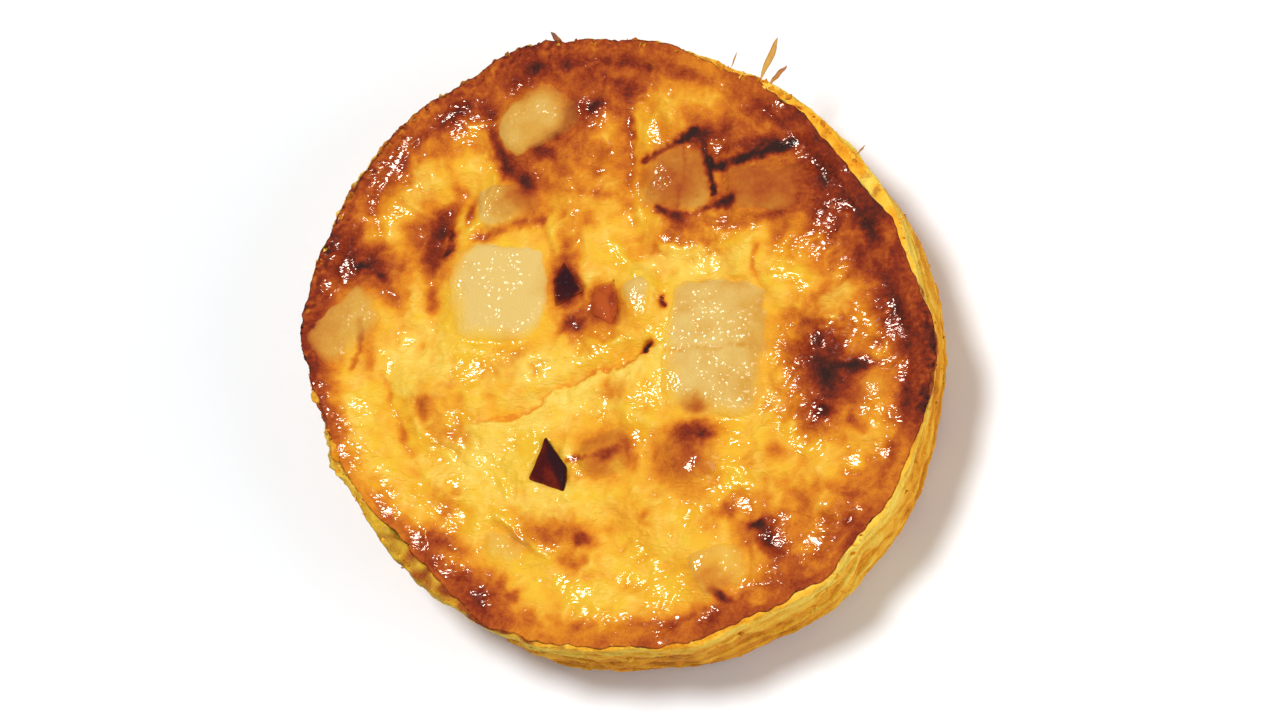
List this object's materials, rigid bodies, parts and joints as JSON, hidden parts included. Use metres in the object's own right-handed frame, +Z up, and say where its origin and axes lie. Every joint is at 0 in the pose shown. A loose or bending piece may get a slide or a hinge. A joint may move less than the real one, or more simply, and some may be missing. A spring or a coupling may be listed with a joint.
{
  "type": "quiche",
  "caption": "Small round deep quiche: pleated shortcrust case filled to the rim with browned egg custard that holds potato dice and smoked lardon tips.",
  "frame": {"origin": "centre of the flat base that the quiche stands on", "axes": "+Z up through the filling, +X to the right and +Y away in the picture's view from above"},
  "size_m": [0.1276, 0.1244, 0.0339],
  "materials": {
    "pastry": "baked shortcrust pastry, dry and grainy, yellow with a browned edge",
    "custard": "baked egg custard skin, wrinkled and wet, golden with brown and burnt patches",
    "potato": "cooked potato under a thin film of custard, pale yellow, pebbly and wet",
    "lardon": "fried smoked pork, dark red-brown and shiny"
  },
  "bodies": {
    "root": {"crust": "pastry", "custard": "custard", "potato_1": "potato", "potato_2": "potato", "potato_3": "potato", "potato_4": "potato", "potato_5": "potato", "potato_6": "potato", "potato_7": "potato", "potato_8": "potato", "potato_9": "potato", "potato_10": "potato", "potato_11": "potato", "potato_12": "potato", "potato_13": "potato", "lardon_1": "lardon", "lardon_2": "lardon", "lardon_3": "lardon"}
  },
  "joints": []
}
